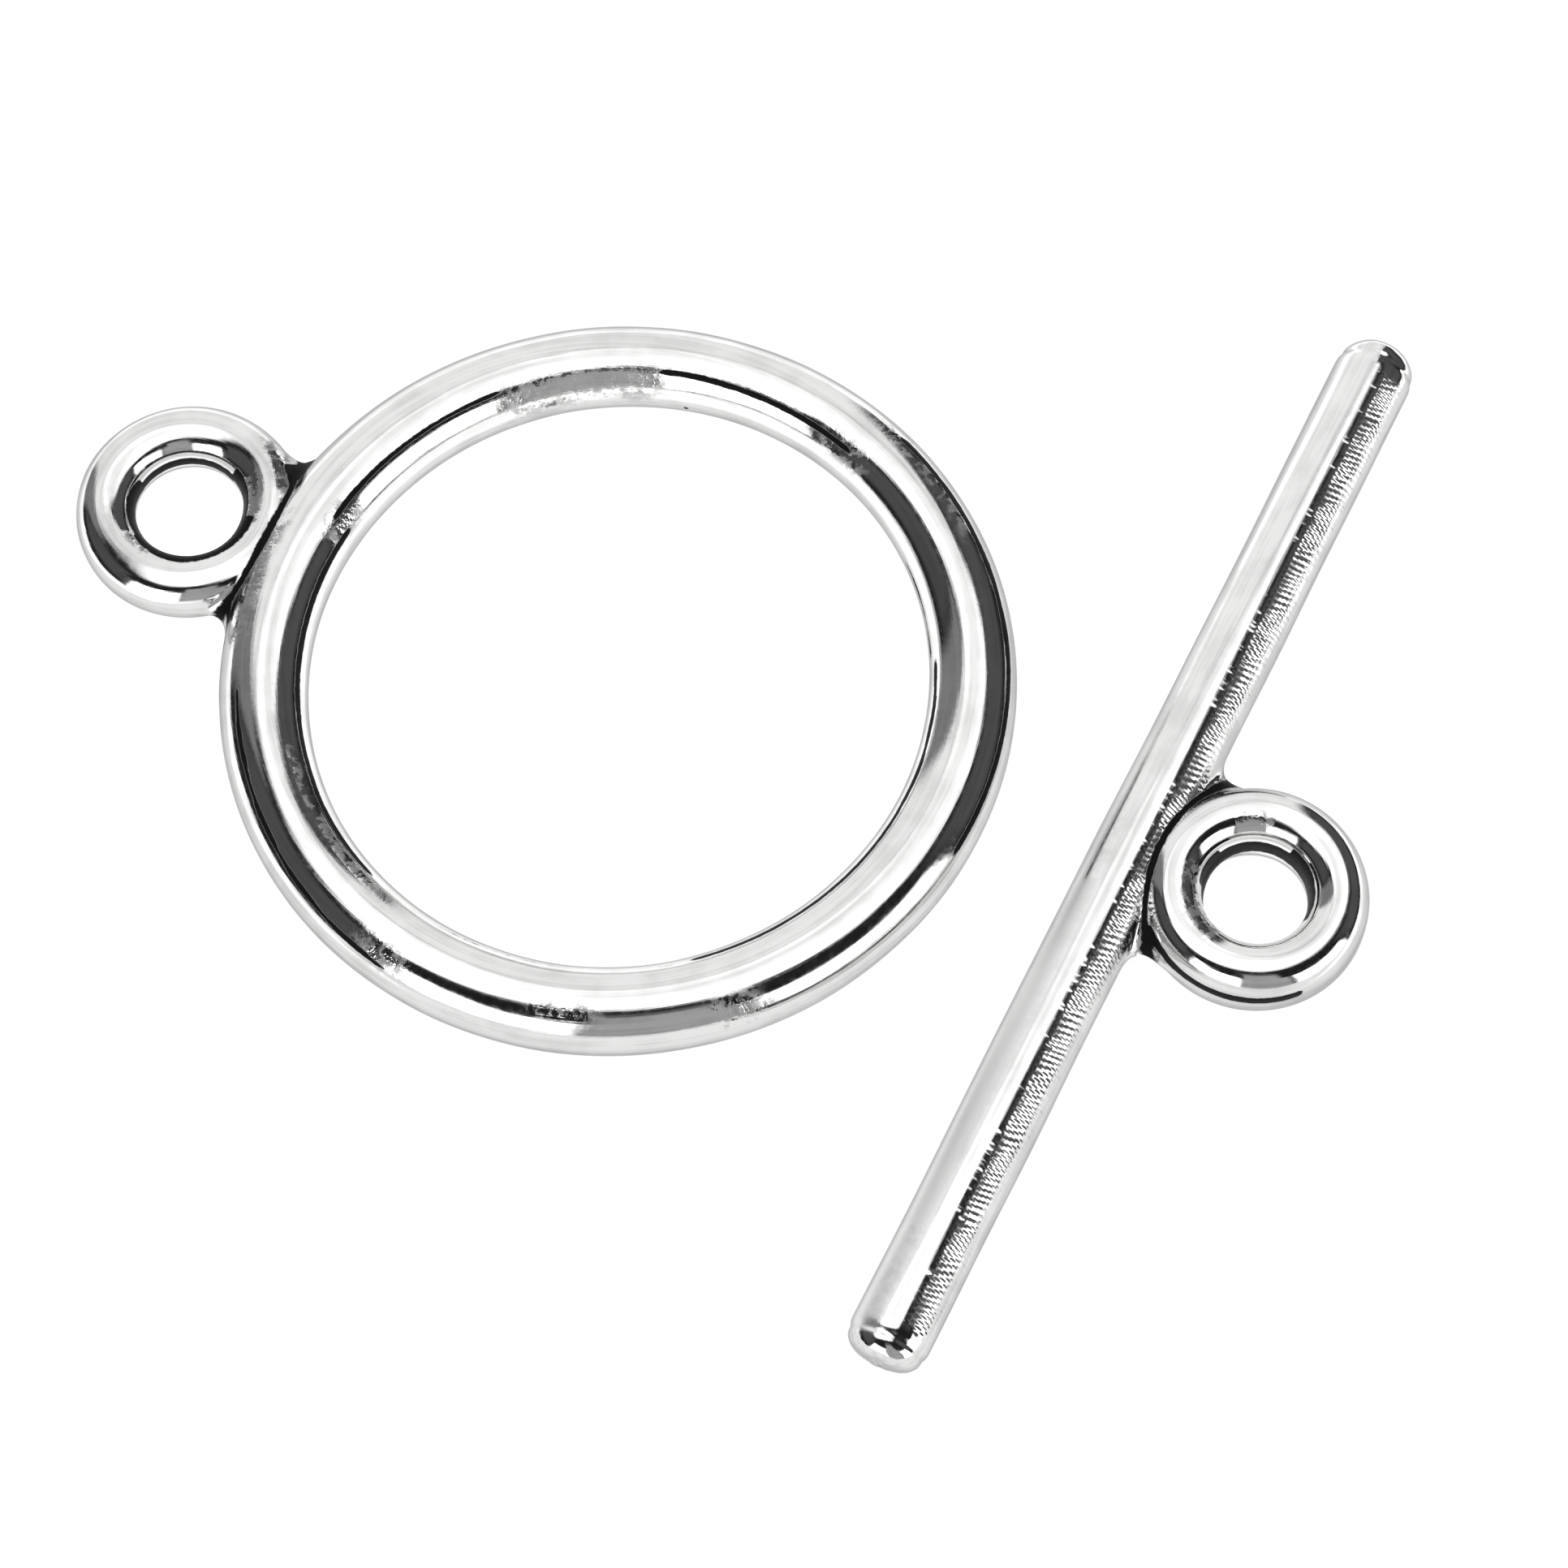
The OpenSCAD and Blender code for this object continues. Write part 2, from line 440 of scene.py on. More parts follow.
def mesh_points(mesh):
    """Its vertices as an array."""
    points = np.zeros(len(mesh.vertices) * 3, np.float32)
    mesh.vertices.foreach_get("co", points)
    return points.reshape(-1, 3).astype(float)


def fused(name, first, second):
    """One closed mesh that is the union of both (points, faces), in millimetres."""
    body, eye = raw_object(name, *first), raw_object(name + "_eye", *second)
    join = body.modifiers.new("Join", "BOOLEAN")
    join.operation, join.solver, join.object = "UNION", "EXACT", eye
    graph = bpy.context.evaluated_depsgraph_get()
    mesh = bpy.data.meshes.new_from_object(body.evaluated_get(graph))
    for thing in (body, eye):
        old = thing.data
        bpy.data.objects.remove(thing)
        bpy.data.meshes.remove(old)
    if not mesh.polygons:
        raise RuntimeError(name + ": the two surfaces could not be joined")
    mesh.name = name
    return mesh


def put_attribute(mesh, name, values):
    """A number or a vector at each vertex, for the material to read."""
    kind, key = ("FLOAT", "value") if values.ndim == 1 else ("FLOAT_VECTOR", "vector")
    mesh.attributes.new(name, kind, "POINT").data.foreach_set(
        key, np.ascontiguousarray(values, np.float32).ravel())


def painted(points, shape, strokes):
    """How strongly strokes cover the points: 1 on their middle lines, times their strength.

    Across a stroke the cover is exp(-d^4), d being the angle off its line in half widths,
    and it fades over the soft degrees at both ends. The margin is where an end may lie that
    comes before its first place.
    """
    soft, margin = 4, 10
    around, along = np.degrees(shape.angles_at(points))
    cover = np.zeros(len(points))
    for half_width, strength, *places in strokes:
        way, turn = np.transpose(places)
        at = (along - way[0] + margin) % 360 - margin + way[0]
        off = (around - np.interp(at, way, turn) + 180) % 360 - 180
        ends = (np.clip((at - way[0]) / soft + 0.5, 0, 1)
                * np.clip((way[-1] - at) / soft + 0.5, 0, 1))
        cover = np.maximum(cover, strength * ends * np.exp(-(off / half_width) ** 4))
    return cover


def joint_patina_and_shade(points, first, second, blend):
    """Where the joint of both shapes is dark: patina left in it, with painted shade of the crease.
    """
    apart = np.maximum(np.maximum(first.field(points), second.field(points)), 0)
    reach = DARK_JOINT_LEAST + DARK_JOINT_SHARE * fillet_reach(points, first.centre[2], blend)
    return np.exp(-(apart / reach) ** 2)


def put_finish(mesh, points, first, second, blend, paint):
    """Gives the mesh its grain, which changes slowly along the metal of the nearer shape and
    fast across it, and the cover of each painted layer."""
    on_first = first.field(points) < second.field(points)
    put_attribute(mesh, "grain", np.where(on_first[:, None], first.grain_at(points),
                                          second.grain_at(points)))
    for layer in LAYERS:
        first_strokes, second_strokes = paint.get(layer, NO_STROKES)
        cover = np.where(on_first, painted(points, first, first_strokes),
                         painted(points, second, second_strokes))
        if layer == "patina_and_painted_shade":
            cover = np.maximum(cover, joint_patina_and_shade(points, first, second, blend))
        put_attribute(mesh, layer, cover)


def cast_half(name, first, second, grids, blend, seed, paint, filed=False):
    """Joins two shapes into one casting with a filleted joint and exact smooth normals.

    The two surfaces are fused, each vertex settles where the joined field is zero, and the
    slope of the field there is its normal. File marks are raised from that along the normals.
    """
    mesh = fused(name, first.surface(*grids[0]), second.surface(*grids[1]))

    def field(p):
        return joined_field(p, first, second, blend, seed)

    points, normals = settle(field, mesh_points(mesh))
    if filed:
        cover, height = file_marks(points, first, second)
        put_attribute(mesh, "filed", cover)
        points = points + normals * height[:, None]
        normals = unit(slope(lambda p: field(p) - file_marks(p, first, second)[1], points))
    mesh.vertices.foreach_set("co", (points * MM).astype(np.float32).ravel())
    mesh.update()
    mesh.shade_smooth()
    mesh.normals_split_custom_set_from_vertices(normals.astype(np.float32))
    put_finish(mesh, points, first, second, blend, paint)
    thing = bpy.data.objects.new(name, mesh)
    bpy.context.scene.collection.objects.link(thing)
    return thing


# Strokes of the finish

# Layers: dark patina in the creases together with painted shade in near-black strokes, pitted
# patches, and stretches left satin
LAYERS = ("patina_and_painted_shade", "pitted", "satin")
NO_STROKES = ((), ())
# The dark in a joint, patina with painted shade of the crease: its reach in millimetres, and the
# share of the fillet's that it adds
DARK_JOINT_LEAST, DARK_JOINT_SHARE = 0.055, 0.45
# Strokes of each layer on the ring and on its eye, then on the bar and on its eye. The
# columns are half width round the section, strength, and the places that the stroke runs
# through, each as angle along the metal and angle round the section (0 outwards, 90 on top),
# in degrees. Along the bar 14.3 degrees stand for each millimetre from its middle.
RING_PAINT = {
    # Painted shade: these near-black strokes stand for dark reflections of the shadowed table under
    # the pieces and of the other piece beside them
    "patina_and_painted_shade": (
        ((4.5, 1, (283, 137), (305, 140), (330, 142.5), (350, 148), (362, 152)),
         (2.5, 0.64, (236, 133), (283, 136)),
         (4, 0.75, (362, 165), (385, 170)),
         (4, 0.9, (98, 14), (120, 20), (145, 24)),
         (5, 0.9, (168, 18), (186, 8)),
         (4, 1, (184, 57), (200, 50), (218, 42), (236, 35)),
         (6, 1, (328, 38), (345, 38), (360, 38), (375, 44), (390, 50), (402, 55)),
         (5.5, 1, (150, 150), (170, 147), (190, 143), (208, 135.5), (224, 131.5)),
         (5, 1, (45, 125), (84, 125.5)),
         (4, 1, (112, 126.5), (130, 127), (152, 125)),
         (12, 0.5, (84, 163), (112, 163)),
         (24, 1, (142, 8), (149, 20))),
        ((22, 1, (-25, 156), (40, 156)),
         (13, 1, (38, 172), (150, 174), (162, 170)),
         (22, 1, (150, 168), (175, 157), (225, 152)),
         (27, 1, (215, 152), (260, 138), (345, 138)),
         (30, 1, (-4, 30), (24, 30)),
         (4, 0.66, (60, 28), (165, 28)))),
    "pitted": (
        ((26, 0.6, (84, 148), (112, 148)),
         (6, 0.7, (56, 124), (84, 124)),
         (18, 0.8, (42, 130), (51, 130)),
         (20, 0.9, (147, 135), (154, 135)),
         (9, 0.8, (258, 64), (267, 64)),
         (22, 0.8, (285, 45), (291, 45)),
         (18, 0.8, (230, 52), (238, 46)),
         (4, 0.8, (16, 46), (20, 46)),
         (11, 0.5, (22, 60), (45, 60)),
         (16, 0.6, (154, 60), (176, 52)),
         (6, 0.7, (196, 118), (228, 114))),
        ((20, 0.8, (212, 130), (240, 125)),
         (22, 0.7, (-20, 130), (25, 130)),
         (26, 0.7, (2, 50), (40, 50)))),
}
BAR_PAINT = {
    # Painted shade: near-black strokes in the eye's bore and round it, standing for dark reflections
    # of the shadowed table under it
    "patina_and_painted_shade": (
        (),
        ((20, 1, (-35, 168), (150, 169)),
         (18, 1, (-35, 150), (50, 150)),
         (14, 1, (128, 152), (172, 150)),
         (10, 1, (48, 158), (130, 158)),
         (15, 1, (150, 168), (205, 172)),
         (10, 1, (198, 30), (230, 22), (265, 22), (292, 26)))),
    "pitted": (
        ((16, 0.12, (-160, 120), (-128, 120)),),
        ((20, 0.8, (158, 122), (230, 116)),
         (9, 0.8, (76, 108), (104, 108)))),
    "satin": (
        ((24, 2, (-160, 130), (-20, 130)),
         (22, 0.55, (-24, 130), (160, 130))),
        ()),
}


# Materials

# Shares of soft clouds and fine grit in the dark layer of patina and painted shade, of brushed
# lines and clouds in the film of tarnish, and of grit and clouds in the haze
DARK_LAYER_CLOUD, DARK_LAYER_GRIT = 0.3, 0.4
FILM_BRUSHED, FILM_CLOUD = 0.7, 0.5
HAZE_GRIT, HAZE_CLOUD = 0.7, 0.4
# Tones of film and satin as shares of the plate's colour, and how far satin covers it
FILM_TONE, SATIN_TONE, SATIN_COVER = 0.82, 1.22, 0.45
# Roughness of the plate without and with haze, as shares, and what the rest adds to it
CLEAR_ROUGHNESS, HAZE_ROUGHNESS = 0.8, 2
SATIN_ROUGHNESS, DARK_ROUGHNESS, FILED_ROUGHNESS = 0.16, 0.45, 0.14
# Lone pits: cells to a millimetre, the share of cells without one, and its edge in cells
PIT_CELLS, PIT_RARITY, PIT_EDGE = 0.9, 0.72, (0.03, 0.055)
# Heights of the relief in millimetres
SKIN_HEIGHT, PITTED_HEIGHT, HAIRLINE_HEIGHT, PIT_HEIGHT = 0.0006, 0.022, 0.0016, -0.01
# What is left of the reflection at grazing angles
EDGE_TINT = (0.55, 0.55, 0.55, 1)
WHITE = (1, 1, 1, 1)


class Tree:
    """A node tree that is being filled. Each call gives the new node's first output, unless
    it says otherwise."""

    def __init__(self, owner):
        owner.use_nodes = True
        self.tree = owner.node_tree
        self.tree.nodes.clear()
        self.count = 0

    def node(self, kind, _out=0, _set=None, **inputs):
        """Adds a node, sets its properties and fills inputs by name (or by _0, _1 for numbers)."""
        made = self.tree.nodes.new(kind)
        made.location = (self.count % 12 * 180, -(self.count // 12) * 260)
        self.count += 1
        for key, value in (_set or {}).items():
            setattr(made, key, value)
        for key, value in inputs.items():
            socket = made.inputs[int(key[1:]) if key[0] == "_" else key.replace("_", " ")]
            if isinstance(value, bpy.types.NodeSocket):
                self.tree.links.new(value, socket)
            else:
                socket.default_value = value
        return made.outputs[_out] if made.outputs else made

    def math(self, operation, a, b=0.0, c=0.0):
        """A Math node."""
        return self.node("ShaderNodeMath", _set={"operation": operation}, _0=a, _1=b, _2=c)

    def ramp(self, value, low, high, to_low=0.0, to_high=1.0):
        """Smooth step from to_low at low to to_high at high."""
        return self.node("ShaderNodeMapRange", _set={"interpolation_type": "SMOOTHSTEP"},
                         Value=value, From_Min=low, From_Max=high, To_Min=to_low, To_Max=to_high)

    def band(self, value, low, high, edge):
        """1 between low and high, falling softly to 0 outside."""
        off = self.math("ABSOLUTE", self.math("SUBTRACT", value, (low + high) / 2))
        half = (high - low) / 2
        return self.ramp(off, half - edge / 2, half + edge / 2, 1, 0)

    def noise(self, at, scale, detail=3.0, roughness=0.5):
        """Noise texture's value."""
        return self.node("ShaderNodeTexNoise", Vector=at, Scale=scale, Detail=detail,
                         Roughness=roughness)

    def mix(self, share, a, b):
        """Mix of two colours."""
        return self.node("ShaderNodeMix", _out=2, _set={"data_type": "RGBA"},
                         _0=share, _6=a, _7=b)

    def lay(self, light, mask, tone, label=""):
        """Lays a tone over the light where the mask is 1."""
        return self.node("ShaderNodeMix", _set={"data_type": "FLOAT", "label": label},
                         _0=mask, _2=light, _3=tone)

    def attribute(self, name, vector=False):
        """A number or a vector that the mesh carries."""
        return self.node("ShaderNodeAttribute", _out=1 if vector else 2,
                         _set={"attribute_name": name})

    def split(self, vector):
        """The three numbers of a vector."""
        return self.node("ShaderNodeSeparateXYZ", Vector=vector).node.outputs

    def distance(self, at, middle):
        """Distance in plan from a middle, for places on the table."""
        return self.node("ShaderNodeVectorMath", _out=1, _set={"operation": "DISTANCE"}, _0=at,
                         _1=(middle[0], middle[1], 0))


def tone(colour_of, share=1):
    """A colour times a share, for a node."""
    return (*[value * share for value in colour_of], 1)


def cast_silver(name, look):
    """Plated casting: a film of tarnish in streaks, satin stretches, dark patina in the creases,
    painted shade in near-black matt strokes, pitted patches, lone pits and hairlines along the
    grain.

    The mesh says where, with its attributes grain, wash, pitted, satin and filed.
    """
    material = bpy.data.materials.new(name)
    t = Tree(material)
    at = t.node("ShaderNodeTexCoord", _out=3)
    mm = t.node("ShaderNodeMapping", Vector=at, Scale=[1 / MM] * 3)
    grain_at = t.attribute("grain", vector=True)
    pitted, satin = t.attribute("pitted"), t.attribute("satin")
    cloud = t.noise(mm, scale=1.3, detail=4)
    grit = t.noise(mm, scale=8.0, detail=4, roughness=0.6)
    brushed = t.noise(grain_at, scale=9.0, detail=4, roughness=0.65)
    blotch = t.noise(mm, scale=4.5, detail=3, roughness=0.6)

    # The dark layer: patina in the creases and painted shade in strokes, laid on as near-black matt
    # metal
    patina_and_painted_shade = t.math("MULTIPLY_ADD", cloud, DARK_LAYER_CLOUD, t.attribute("patina_and_painted_shade"))
    patina_and_painted_shade = t.ramp(t.math("MULTIPLY_ADD", grit, DARK_LAYER_GRIT, patina_and_painted_shade), low=0.8, high=1.0)
    to_pit = t.node("ShaderNodeTexVoronoi", _set={"feature": "F1"}, Vector=mm, Scale=PIT_CELLS)
    chance = t.node("ShaderNodeSeparateColor", Color=to_pit.node.outputs["Color"])
    pit = t.math("MULTIPLY", t.ramp(to_pit, *PIT_EDGE, 1, 0),
                 t.math("GREATER_THAN", chance, PIT_RARITY))
    specks = t.math("MULTIPLY", pitted, t.ramp(blotch, 0.48, 0.6, 0, 0.75))
    dark = t.math("MAXIMUM", t.math("MAXIMUM", patina_and_painted_shade, pit), specks)

    film = t.math("MULTIPLY_ADD", brushed, FILM_BRUSHED, t.math("MULTIPLY", cloud, FILM_CLOUD))
    film = t.ramp(film, low=0.5, high=0.75)
    plate = t.mix(film, tone(look.silver), tone(look.silver, FILM_TONE))
    plate = t.mix(t.math("MULTIPLY", satin, SATIN_COVER), plate, tone(look.silver, SATIN_TONE))
    plate = t.mix(dark, plate, tone(look.tarnish))

    haze = t.math("MULTIPLY_ADD", grit, HAZE_GRIT, t.math("MULTIPLY", cloud, HAZE_CLOUD))
    roughness = t.ramp(haze, 0.42, 0.72, look.roughness * CLEAR_ROUGHNESS,
                       look.roughness * HAZE_ROUGHNESS)
    for where, more in ((satin, SATIN_ROUGHNESS), (dark, DARK_ROUGHNESS),
                        (t.attribute("filed"), FILED_ROUGHNESS)):
        roughness = t.math("MULTIPLY_ADD", where, more, roughness)

    height = t.math("MULTIPLY", t.noise(mm, scale=9.0, detail=2), SKIN_HEIGHT)
    for relief, most in ((t.math("MULTIPLY", blotch, pitted), PITTED_HEIGHT),
                         (t.noise(grain_at, scale=22.0, detail=2, roughness=0.6), HAIRLINE_HEIGHT),
                         (pit, PIT_HEIGHT)):
        height = t.math("MULTIPLY_ADD", relief, most, height)
    bump = t.node("ShaderNodeBump", Height=height, Strength=1.0, Distance=MM)
    surface = t.node("ShaderNodeBsdfPrincipled", Base_Color=plate, Roughness=roughness,
                     Metallic=t.math("SUBTRACT", 1, dark), Specular_IOR_Level=0.1,
                     Specular_Tint=EDGE_TINT, Normal=bump)
    t.node("ShaderNodeOutputMaterial", Surface=surface)
    return material


# The table's soft edges: of a painted pool of light and of the painted shadow near the pieces, as
# shares of their reach, and how far the brighter front fades in
POOL_EDGE, PAINTED_SHADOW_EDGE, FRONT_FADE = 0.85, 0.85, 0.002


def table_top(name, look, loops, bar):
    """Matt pale glowing table with the faintest unevenness, a little less bright round the pieces as
    a painted shadow, and bright in a painted pool of light inside each loop.

    A loop is its middle, its radius, half its wall, and how far from that its pool begins.
    The bar's distance is that from the straight line between its ends.
    """
    material = bpy.data.materials.new(name)
    t = Tree(material)
    at = t.node("ShaderNodeTexCoord", _out=3)
    cloud = t.noise(at, scale=40.0)
    pale = t.mix(t.ramp(cloud, 0.3, 0.7), tone(look.floor_colour, 0.99), tone(look.floor_colour))

    local = t.node("ShaderNodeMapping", _set={"vector_type": "TEXTURE"}, Vector=at,
                   Location=bar.centre, Rotation=(0, 0, bar.turn))
    along, left, _ = t.split(local)
    past = t.math("MAXIMUM", t.math("SUBTRACT", t.math("ABSOLUTE", along), bar.half_length), 0)
    off = t.math("SQRT", t.math("ADD", t.math("POWER", past, 2), t.math("POWER", left, 2)))
    nearest = t.math("SUBTRACT", off, bar.radius)
    # Painted light and shade: brighter glow in pools inside the loops and away from the pieces
    # behind the front, and the plainer glow round the pieces standing for their shadow
    glow = look.glow
    for middle, radius, wall, shade in loops:
        away = t.distance(at, middle)
        pool = radius - wall - shade
        glow = t.math("MAXIMUM", glow, t.ramp(away, pool * POOL_EDGE, pool, look.pool, look.glow))
        nearest = t.math("MINIMUM", nearest, t.math("SUBTRACT", away, radius + wall))
    _, y, _ = t.split(at)
    far = t.math("MULTIPLY", t.ramp(nearest, look.near * PAINTED_SHADOW_EDGE, look.near),
                 t.ramp(y, look.front, look.front - FRONT_FADE, 1, 0))
    glow = t.math("MAXIMUM", glow, t.math("MULTIPLY", far, look.pool))
    surface = t.node("ShaderNodeBsdfPrincipled", Base_Color=pale, Roughness=0.9,
                     Specular_IOR_Level=0.0, Emission_Color=WHITE, Emission_Strength=glow)
    t.node("ShaderNodeOutputMaterial", Surface=surface)
    return material


# Light

# Cards round the table. The columns are name, azimuth from and to, elevation from and to,
# soft edge, all in degrees, and brightness. Azimuth is counted from +X, and the camera stands
# at -90. Each card covers those above it in the list.
CARDS = (
    ("back card", 66, 140, -90, 89, 8, 1.04),
    ("left back", 135, 160, -90, 62, 6, 0.24),
    ("dark left", 156, 213, -90, 66, 6, 0.018),
    ("left middle", 158, 212, 14, 56, 14, 0.085),
    ("front left", -147, -98, -90, 62, 6, 0.06),
    ("front", -98, -60, -90, 62, 6, 0.42),
    ("front right", -60, -12, -90, 62, 6, 0.06),
    ("front frame left", -153, -97, 40, 66, 4, 0.015),
    ("front frame", -97, -66, 55, 66, 4, 0.12),
    ("front frame right", -66, -8, 40, 66, 4, 0.015),
    ("dark right", -9, 66, -90, 62, 5, 0.018),
    ("right middle", -6, 64, 12, 50, 14, 0.09),
    ("left panel", -141, -100, -50, 38, 4, 2.6),
    ("right panel", -57, -12, -50, 37, 4, 2.6),
)
# Brightness where no card is
DARK = 0.03
# The soft box overhead: a plate with rounded corners at this height, its middle, half sizes and
# corner radius counted in heights, its soft edge, and how far it leans right towards its back
BOX_HEIGHT = 0.06
BOX_MIDDLE, BOX_HALF, BOX_CORNER, BOX_EDGE = (0.05, 0.17), (0.60, 0.53), 0.40, 0.20
BOX_LEAN = 0.3
# Its brightness at the front, in the middle of its back and at the sides of its back
BOX_FRONT, BOX_BACK, BOX_BACK_SIDES = 1.7, 1.12, 1.5
# Where the sides of the back begin, off its middle, and where the front gives way to the back
BACK_SIDES_AT, BACK_AT = (0.06, 0.32), (-0.05, 0.42)
# Its black rim: where that ends outwards, where it ends towards the back, and its glow
RIM_OUT, RIM_BACK, RIM_GLOW = (0.16, 0.3), (0.35, 0.6), 0.02


def soft_boxes(world, strength):
    """World light made of soft-edged cards in azimuth and elevation.

    The camera itself sees white past the table.
    """
    t = Tree(world)
    x, y, z = t.split(t.node("ShaderNodeTexCoord", _out=0))
    azimuth, elevation = t.math("ARCTAN2", y, x), t.math("ARCSINE", z)
    light = DARK
    for label, turn_from, turn_to, up_from, up_to, edge, glow in CARDS:
        middle, half = radians((turn_from + turn_to) / 2), radians((turn_to - turn_from) / 2)
        turned = t.math("WRAP", t.math("SUBTRACT", azimuth, middle), pi, -pi)
        mask = t.math("MULTIPLY", t.band(turned, -half, half, radians(edge)),
                      t.band(elevation, radians(up_from), radians(up_to), radians(edge)))
        light = t.lay(light, mask, glow, label)
    seen = t.node("ShaderNodeLightPath", _out=0)
    light = t.lay(t.math("MULTIPLY", light, strength), seen, 1.0)
    shade = t.node("ShaderNodeBackground", Color=WHITE, Strength=light)
    t.node("ShaderNodeOutputWorld", Surface=shade)


def overhead_light(name):
    """Glowing face of the soft box overhead, brighter at its front, with a black rim.

    The distance d from the rounded outline is the usual one of a box: the length of what the
    place lies beyond the corner circles' centres, less their radius.
    """
    material = bpy.data.materials.new(name)
    t = Tree(material)
    at = t.node("ShaderNodeTexCoord", _out=3)
    across, y, _ = t.split(t.node("ShaderNodeMapping", Vector=at, Scale=[1 / BOX_HEIGHT] * 3))
    lean = t.math("MULTIPLY", t.math("SUBTRACT", y, BOX_MIDDLE[1]), BOX_LEAN)
    x = t.math("SUBTRACT", across, lean)
    squares = []
    for value, middle, half in zip((x, y), BOX_MIDDLE, BOX_HALF):
        off = t.math("ABSOLUTE", t.math("SUBTRACT", value, middle))
        beyond = t.math("MAXIMUM", t.math("SUBTRACT", off, half - BOX_CORNER), 0)
        squares.append(t.math("POWER", beyond, 2))
    d = t.math("SUBTRACT", t.math("SQRT", t.math("ADD", *squares)), BOX_CORNER)
    inside = t.ramp(d, -BOX_EDGE / 2, BOX_EDGE / 2, 1, 0)
    back = t.ramp(t.math("ABSOLUTE", x), *BACK_SIDES_AT, BOX_BACK, BOX_BACK_SIDES)
    face = t.lay(BOX_FRONT, t.ramp(y, *BACK_AT), back)
    rim = t.math("MULTIPLY", t.ramp(d, *RIM_OUT, 1, 0), t.ramp(y, *RIM_BACK, 1, 0))
    glow = t.node("ShaderNodeEmission", Color=WHITE,
                  Strength=t.math("MULTIPLY_ADD", inside, face, RIM_GLOW))
    clear = t.node("ShaderNodeBsdfTransparent")
    surface = t.node("ShaderNodeMixShader", _0=t.math("MAXIMUM", inside, rim), _1=clear, _2=glow)
    t.node("ShaderNodeOutputMaterial", Surface=surface)
    return material


# Operators

# The camera's sensor in millimetres, and its nearest and furthest sight in metres
SENSOR = 36
SIGHT = (0.001, 10)


def finish_piece(thing, node, material):
    """The piece wears this material, moves with the part's body and stands for the node."""
    thing.data.materials.append(material)
    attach(thing, BODY)
    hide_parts(node)


def in_mm(vector):
    """A property's lengths in millimetres."""
    return np.array(vector[:]) / MM


def eye_loop(size, p):
    """The small eye of either half."""
    return Loop(in_mm(size.eye_at), size.eye_radius / MM, size.eye_wall / MM,
                size.eye_height / MM, p=p)


class CLASP_OT_ring_half(Operator):
    """Build the ring with its small eye as one casting"""

    bl_idname = "clasp.ring_half"
    bl_label = "Ring half"

    def execute(self, context):
        size = context.scene.clasp_ring
        ring = Loop(in_mm(size.centre), size.radius / MM, size.wire / MM,
                    size.wire / MM * RING_FLATNESS, radius_waves=RING_RADIUS_WAVES,
                    width_waves=RING_WIDTH_WAVES)
        thing = cast_half("ring_with_eye", ring, eye_loop(size, RING_EYE_POWER),
                          (RING_GRID, RING_EYE_GRID), size.blend / MM, RING_SEED, RING_PAINT)
        finish_piece(thing, "toggle_ring", cast_silver("ring_silver", context.scene.clasp_finish))
        return {"FINISHED"}


class CLASP_OT_bar_half(Operator):
    """Build the bar with its small eye as one casting"""

    bl_idname = "clasp.bar_half"
    bl_label = "Bar half"

    def execute(self, context):
        size = context.scene.clasp_bar
        bar = Rod(in_mm(size.centre), size.turn, size.half_length / MM, size.radius / MM,
                  size.end / MM, BAR_END_POWER)
        thing = cast_half("bar_with_eye", bar, eye_loop(size, BAR_EYE_POWER),
                          (BAR_GRID, BAR_EYE_GRID), size.blend / MM, BAR_SEED, BAR_PAINT,
                          filed=True)
        finish_piece(thing, "toggle_bar", cast_silver("bar_silver", context.scene.clasp_finish))
        return {"FINISHED"}


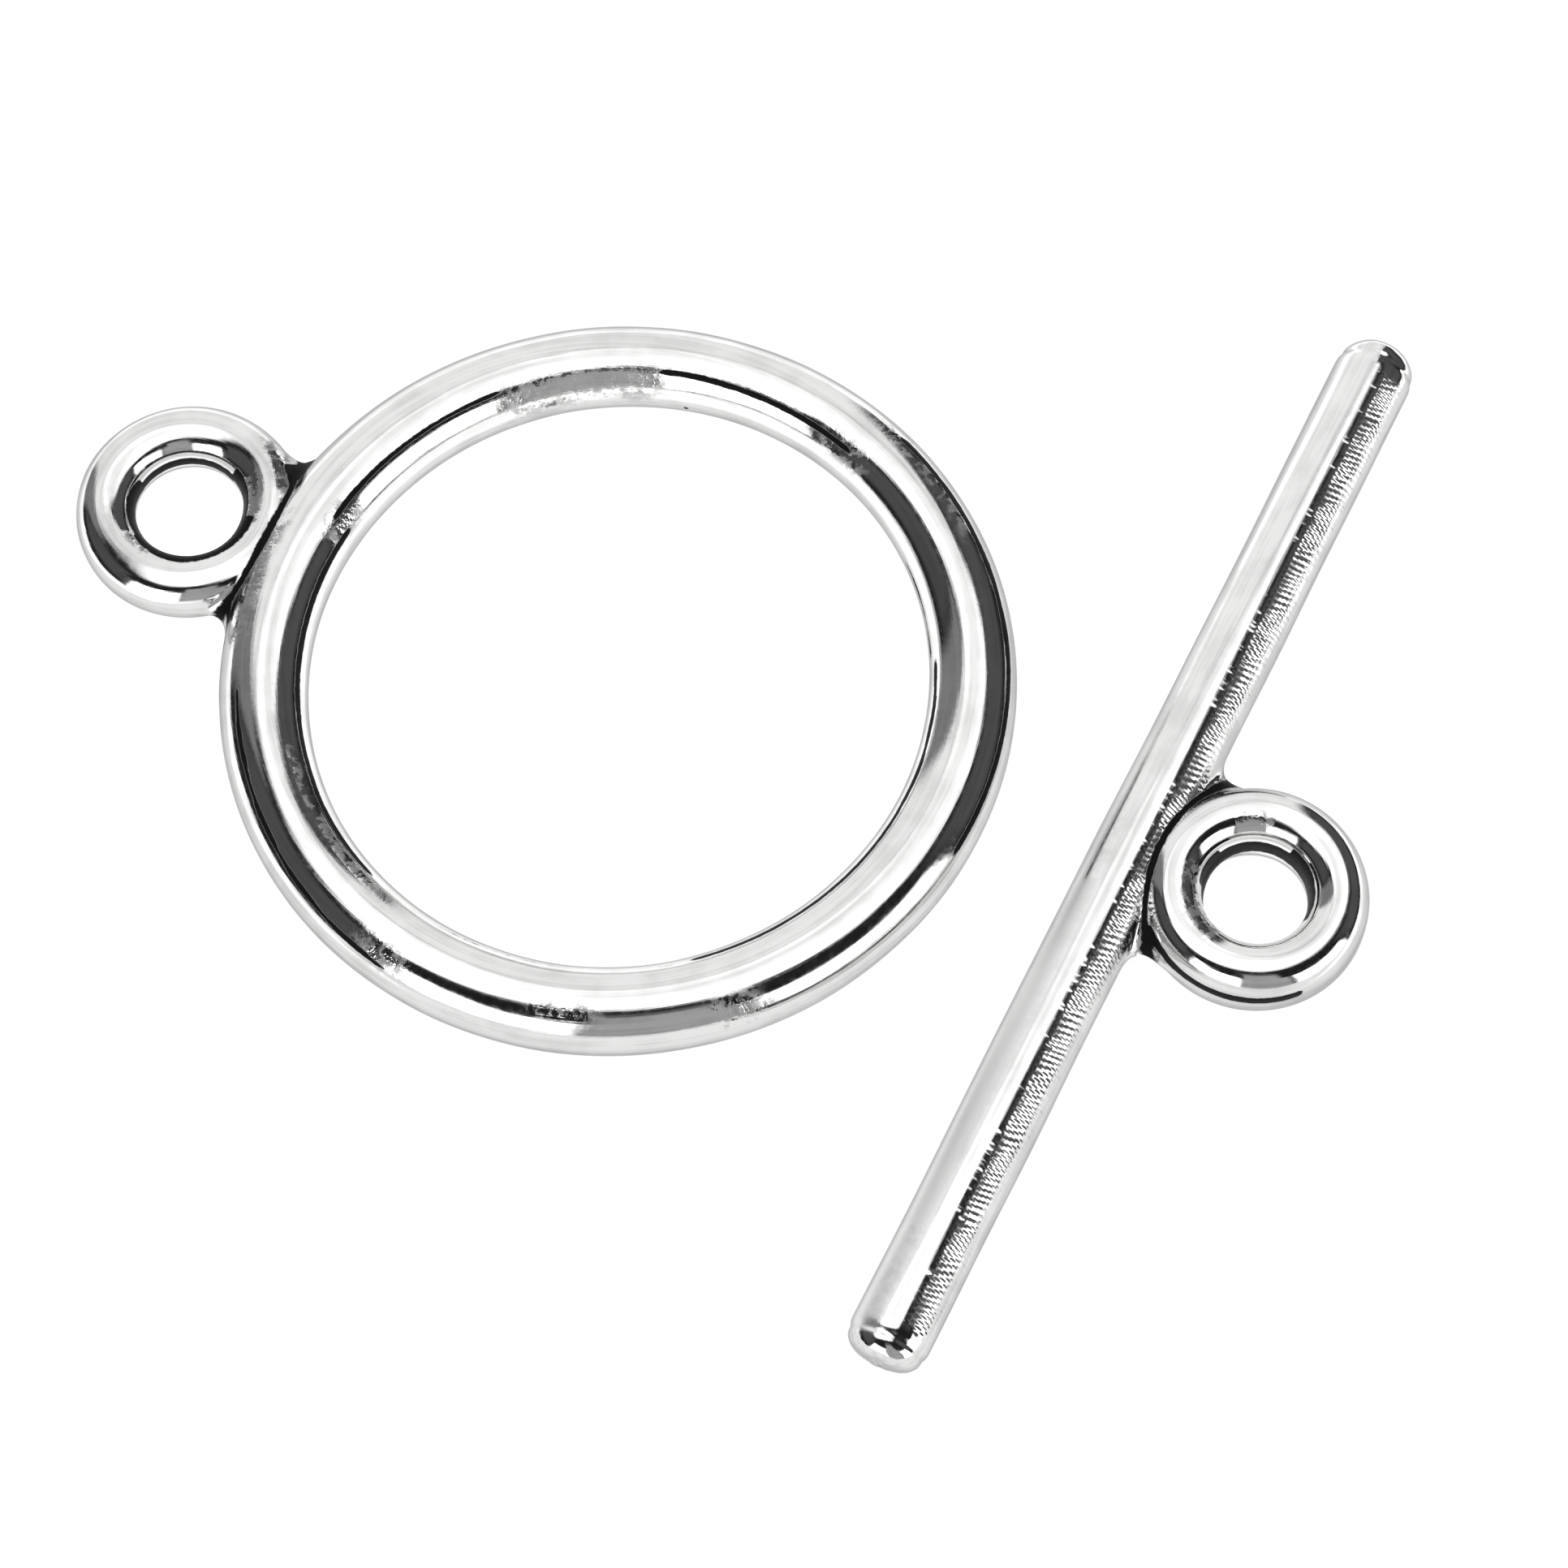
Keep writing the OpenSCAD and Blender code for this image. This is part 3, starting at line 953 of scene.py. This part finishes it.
class CLASP_OT_stage(Operator):
    """Lay the table, light it and place the camera"""

    bl_idname = "clasp.stage"
    bl_label = "Table, light and camera"

    def execute(self, context):
        look, scene = context.scene.clasp_studio, context.scene
        square = np.array([(-1, -1, 0), (1, -1, 0), (1, 1, 0), (-1, 1, 0)])
        floor = raw_object("table_top", square * look.floor_size / 2, [[0, 1, 2, 3]])
        ring, bar = scene.clasp_ring, scene.clasp_bar
        loops = [(ring.centre, ring.radius, ring.wire, look.shade),
                 *((half.eye_at, half.eye_radius, half.eye_wall, 0) for half in (ring, bar))]
        floor.data.materials.append(table_top("table_top", look, loops, bar))
        box = raw_object("soft_box", (square * 2 + (0, 0, 1)) * BOX_HEIGHT, [[0, 3, 2, 1]])
        box.data.materials.append(overhead_light("soft_box"))
        box.visible_camera = False
        world = bpy.data.worlds.new("studio")
        soft_boxes(world, look.light)
        scene.world = world
        lens = bpy.data.cameras.new("camera")
        lens.lens, lens.sensor_width = look.lens, SENSOR
        lens.clip_start, lens.clip_end = SIGHT
        camera = bpy.data.objects.new("camera", lens)
        camera.location = look.camera_at
        camera.rotation_euler = (Vector(look.looks_at) - Vector(look.camera_at)).to_track_quat(
            "-Z", "Y").to_euler()
        scene.collection.objects.link(camera)
        scene.camera = camera
        scene.view_settings.view_transform = "Standard"
        return {"FINISHED"}


class CLASP_PT_sidebar(Panel):
    """The clasp's pieces and their sizes"""

    bl_label = "Toggle Clasp"
    bl_idname = "CLASP_PT_sidebar"
    bl_space_type = "VIEW_3D"
    bl_region_type = "UI"
    bl_category = "Toggle Clasp"

    def draw(self, context):
        scene = context.scene
        for operator, group in ((CLASP_OT_ring_half, scene.clasp_ring),
                                (CLASP_OT_bar_half, scene.clasp_bar),
                                (CLASP_OT_stage, scene.clasp_studio)):
            box = self.layout.box()
            box.operator(operator.bl_idname)
            for name in group.__annotations__:
                box.prop(group, name)
        box = self.layout.box()
        for name in scene.clasp_finish.__annotations__:
            box.prop(scene.clasp_finish, name)


GROUPS = {
    "clasp_ring": RingHalfSizes,
    "clasp_bar": BarHalfSizes,
    "clasp_finish": FinishLook,
    "clasp_studio": StudioLook,
}
CLASSES = (*GROUPS.values(), CLASP_OT_ring_half, CLASP_OT_bar_half, CLASP_OT_stage,
           CLASP_PT_sidebar)


def register():
    """Registers the classes and gives the scene their properties."""
    for kind in CLASSES:
        bpy.utils.register_class(kind)
    for name, group in GROUPS.items():
        setattr(bpy.types.Scene, name, PointerProperty(type=group))


def unregister():
    """Takes the properties and the classes away again."""
    for name in GROUPS:
        delattr(bpy.types.Scene, name)
    for kind in reversed(CLASSES):
        bpy.utils.unregister_class(kind)


def main():
    """Builds both halves and the stage."""
    register()
    bpy.ops.clasp.ring_half()
    bpy.ops.clasp.bar_half()
    bpy.ops.clasp.stage()


if __name__ == "__main__":
    main()
